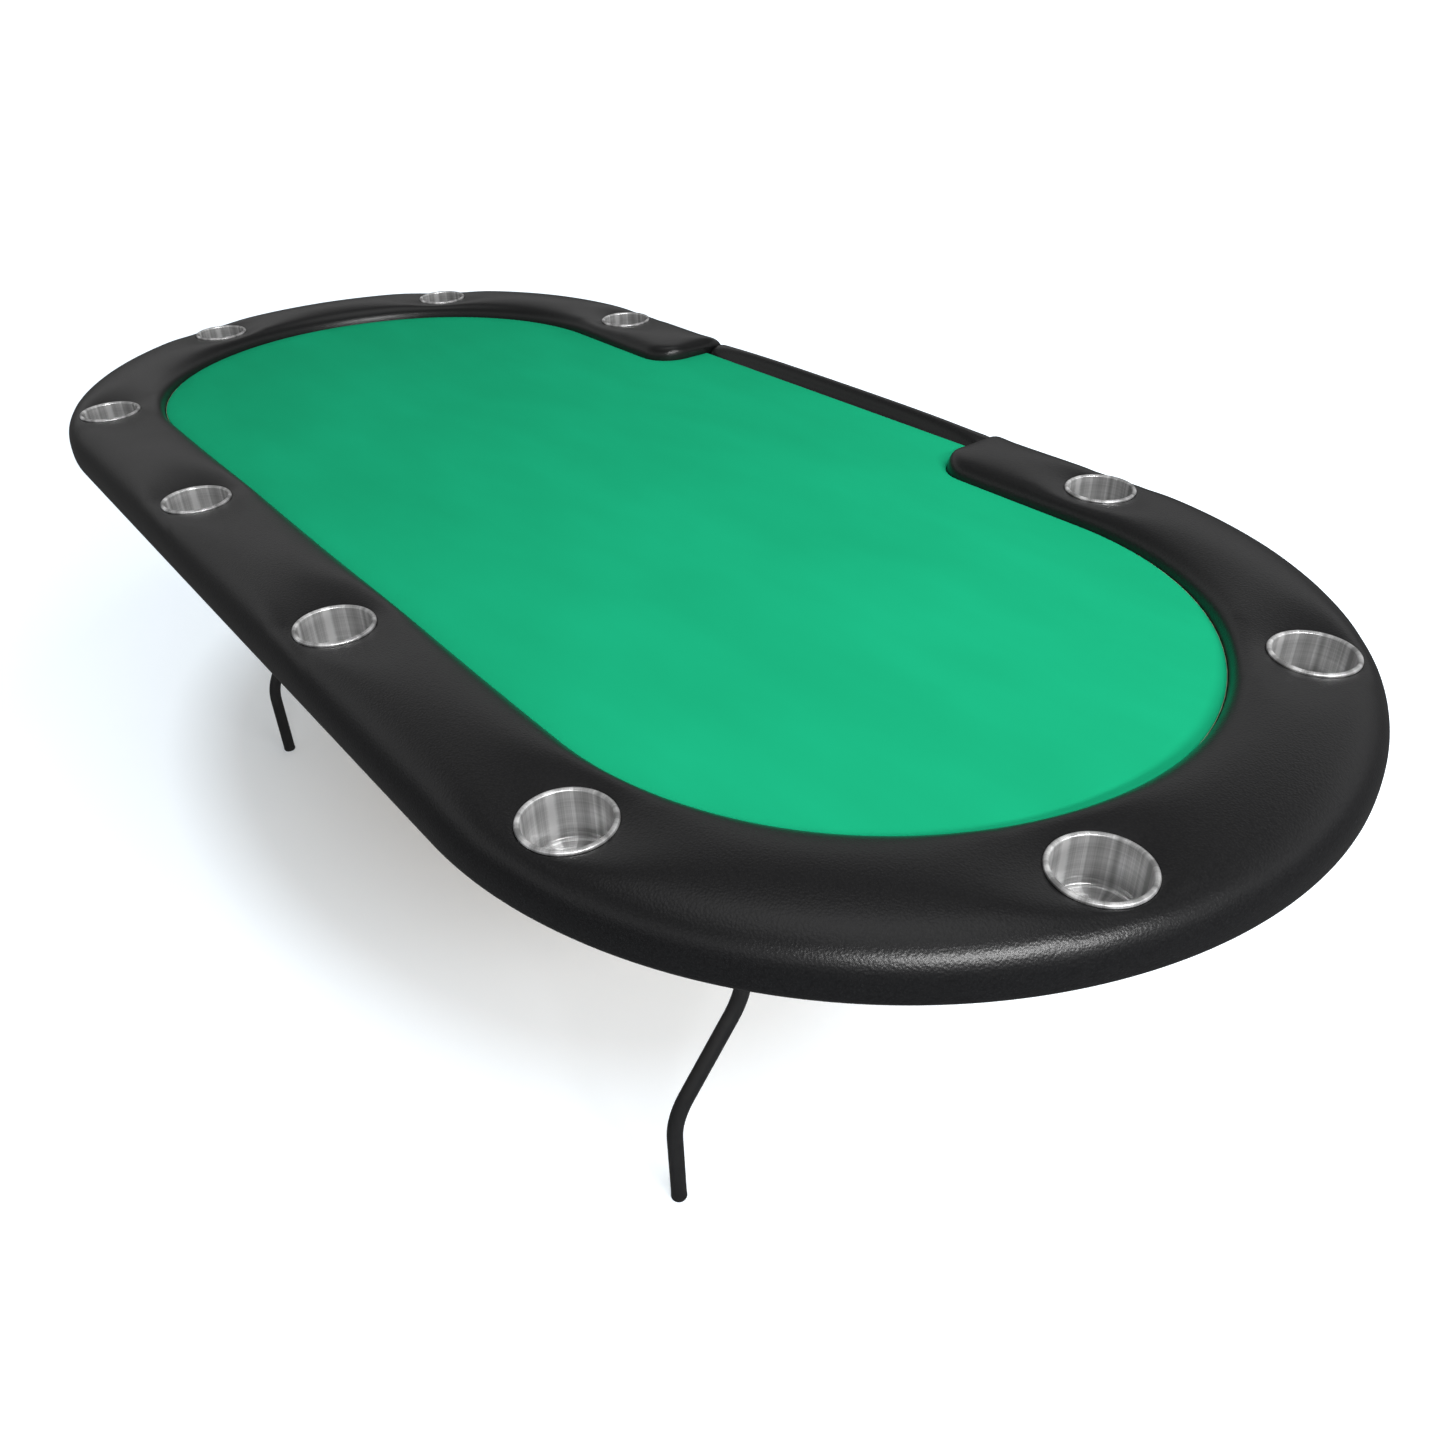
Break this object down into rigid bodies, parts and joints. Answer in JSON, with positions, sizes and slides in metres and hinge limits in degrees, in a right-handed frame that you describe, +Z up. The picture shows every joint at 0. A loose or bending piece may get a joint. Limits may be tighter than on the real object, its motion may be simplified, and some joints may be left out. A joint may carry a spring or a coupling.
{
  "type": "poker table",
  "caption": "Oval poker table with a green playing cloth, a padded black rail with set-in steel cup holders, a dealer's opening and fold-away tubular legs.",
  "frame": {"origin": "on the floor under the middle of the top", "axes": "+X along the table's length, +Y towards the dealer's side, +Z up"},
  "size_m": [2.44, 1.168, 0.766],
  "materials": {
    "felt_green": "matte woven speed cloth with a fine nap",
    "padding_foam": "open-cell upholstery foam",
    "rail_vinyl": "black leatherette with a fine pebble grain, satin",
    "board_wood": "raw fibreboard with sawn edges",
    "cup_steel": "circumferentially brushed stainless steel",
    "leg_black": "satin black powder coat",
    "plug_black": "moulded black polyethylene",
    "screw_zinc": "bright zinc plate"
  },
  "bodies": {
    "table_top": {"base_board": "board_wood", "play_board": "board_wood", "play_foam": "padding_foam", "felt": "felt_green", "rail_board": "board_wood", "rail_foam": "padding_foam", "rail_cover": "rail_vinyl", "strip_board": "board_wood", "strip_foam": "padding_foam", "strip_cover": "rail_vinyl", "bracket_screws": "screw_zinc", "board_screws": "screw_zinc", "leg_bracket_right_front": "leg_black", "leg_bracket_right_rear": "leg_black", "brace_bracket_right": "leg_black", "brace_pin_right": "screw_zinc", "leg_bracket_left_front": "leg_black", "leg_bracket_left_rear": "leg_black", "brace_bracket_left": "leg_black", "brace_pin_left": "screw_zinc"},
    "leg_frame_right": {"pivot_tube_right": "leg_black", "pivot_plugs_right": "plug_black", "stretcher_tube_right": "leg_black", "brace_collars_right": "leg_black", "leg_tube_right_front": "leg_black", "foot_plug_right_front": "plug_black", "leg_tube_right_rear": "leg_black", "foot_plug_right_rear": "plug_black"},
    "brace_upper_right": {"upper_brace_link_right": "leg_black"},
    "brace_lower_right": {"lower_brace_link_right": "leg_black"},
    "leg_frame_left": {"pivot_tube_left": "leg_black", "pivot_plugs_left": "plug_black", "stretcher_tube_left": "leg_black", "brace_collars_left": "leg_black", "leg_tube_left_front": "leg_black", "foot_plug_left_front": "plug_black", "leg_tube_left_rear": "leg_black", "foot_plug_left_rear": "plug_black"},
    "brace_upper_left": {"upper_brace_link_left": "leg_black"},
    "brace_lower_left": {"lower_brace_link_left": "leg_black"},
    "cup_01": {"cup_holder_01": "cup_steel"},
    "cup_02": {"cup_holder_02": "cup_steel"},
    "cup_03": {"cup_holder_03": "cup_steel"},
    "cup_04": {"cup_holder_04": "cup_steel"},
    "cup_05": {"cup_holder_05": "cup_steel"},
    "cup_06": {"cup_holder_06": "cup_steel"},
    "cup_07": {"cup_holder_07": "cup_steel"},
    "cup_08": {"cup_holder_08": "cup_steel"},
    "cup_09": {"cup_holder_09": "cup_steel"},
    "cup_10": {"cup_holder_10": "cup_steel"}
  },
  "joints": [
    {"name": "leg_fold_right", "type": "hinge", "parent": "table_top", "child": "leg_frame_right", "pos_m": [0.699, 0, 0.681], "axis": [0, 1, 0], "range_deg": [0, 90]},
    {"name": "brace_swing_right", "type": "hinge", "parent": "table_top", "child": "brace_upper_right", "pos_m": [0.389, 0, 0.681], "axis": [0, 1, 0], "range_deg": [0, 138.75]},
    {"name": "brace_hub_right", "type": "hinge", "parent": "leg_frame_right", "child": "brace_lower_right", "pos_m": [0.699, 0, 0.409], "axis": [0, 1, 0], "range_deg": [-131.27, 0]},
    {"name": "leg_fold_left", "type": "hinge", "parent": "table_top", "child": "leg_frame_left", "pos_m": [-0.699, 0, 0.681], "axis": [0, -1, 0], "range_deg": [0, 90]},
    {"name": "brace_swing_left", "type": "hinge", "parent": "table_top", "child": "brace_upper_left", "pos_m": [-0.389, 0, 0.681], "axis": [0, -1, 0], "range_deg": [0, 138.75]},
    {"name": "brace_hub_left", "type": "hinge", "parent": "leg_frame_left", "child": "brace_lower_left", "pos_m": [-0.699, 0, 0.409], "axis": [0, -1, 0], "range_deg": [-131.27, 0]},
    {"name": "cup_lift_01", "type": "slide", "parent": "table_top", "child": "cup_01", "axis": [0, 0, 1], "range_m": [0, 0.08]},
    {"name": "cup_lift_02", "type": "slide", "parent": "table_top", "child": "cup_02", "axis": [0, 0, 1], "range_m": [0, 0.08]},
    {"name": "cup_lift_03", "type": "slide", "parent": "table_top", "child": "cup_03", "axis": [0, 0, 1], "range_m": [0, 0.08]},
    {"name": "cup_lift_04", "type": "slide", "parent": "table_top", "child": "cup_04", "axis": [0, 0, 1], "range_m": [0, 0.08]},
    {"name": "cup_lift_05", "type": "slide", "parent": "table_top", "child": "cup_05", "axis": [0, 0, 1], "range_m": [0, 0.08]},
    {"name": "cup_lift_06", "type": "slide", "parent": "table_top", "child": "cup_06", "axis": [0, 0, 1], "range_m": [0, 0.08]},
    {"name": "cup_lift_07", "type": "slide", "parent": "table_top", "child": "cup_07", "axis": [0, 0, 1], "range_m": [0, 0.08]},
    {"name": "cup_lift_08", "type": "slide", "parent": "table_top", "child": "cup_08", "axis": [0, 0, 1], "range_m": [0, 0.08]},
    {"name": "cup_lift_09", "type": "slide", "parent": "table_top", "child": "cup_09", "axis": [0, 0, 1], "range_m": [0, 0.08]},
    {"name": "cup_lift_10", "type": "slide", "parent": "table_top", "child": "cup_10", "axis": [0, 0, 1], "range_m": [0, 0.08]}
  ],
  "couplings": [
    {"joint": "brace_swing_right", "follows": "leg_fold_right", "ratio": 1.5415},
    {"joint": "brace_hub_right", "follows": "leg_fold_right", "ratio": -1.4585},
    {"joint": "brace_swing_left", "follows": "leg_fold_left", "ratio": 1.5415},
    {"joint": "brace_hub_left", "follows": "leg_fold_left", "ratio": -1.4585}
  ]
}
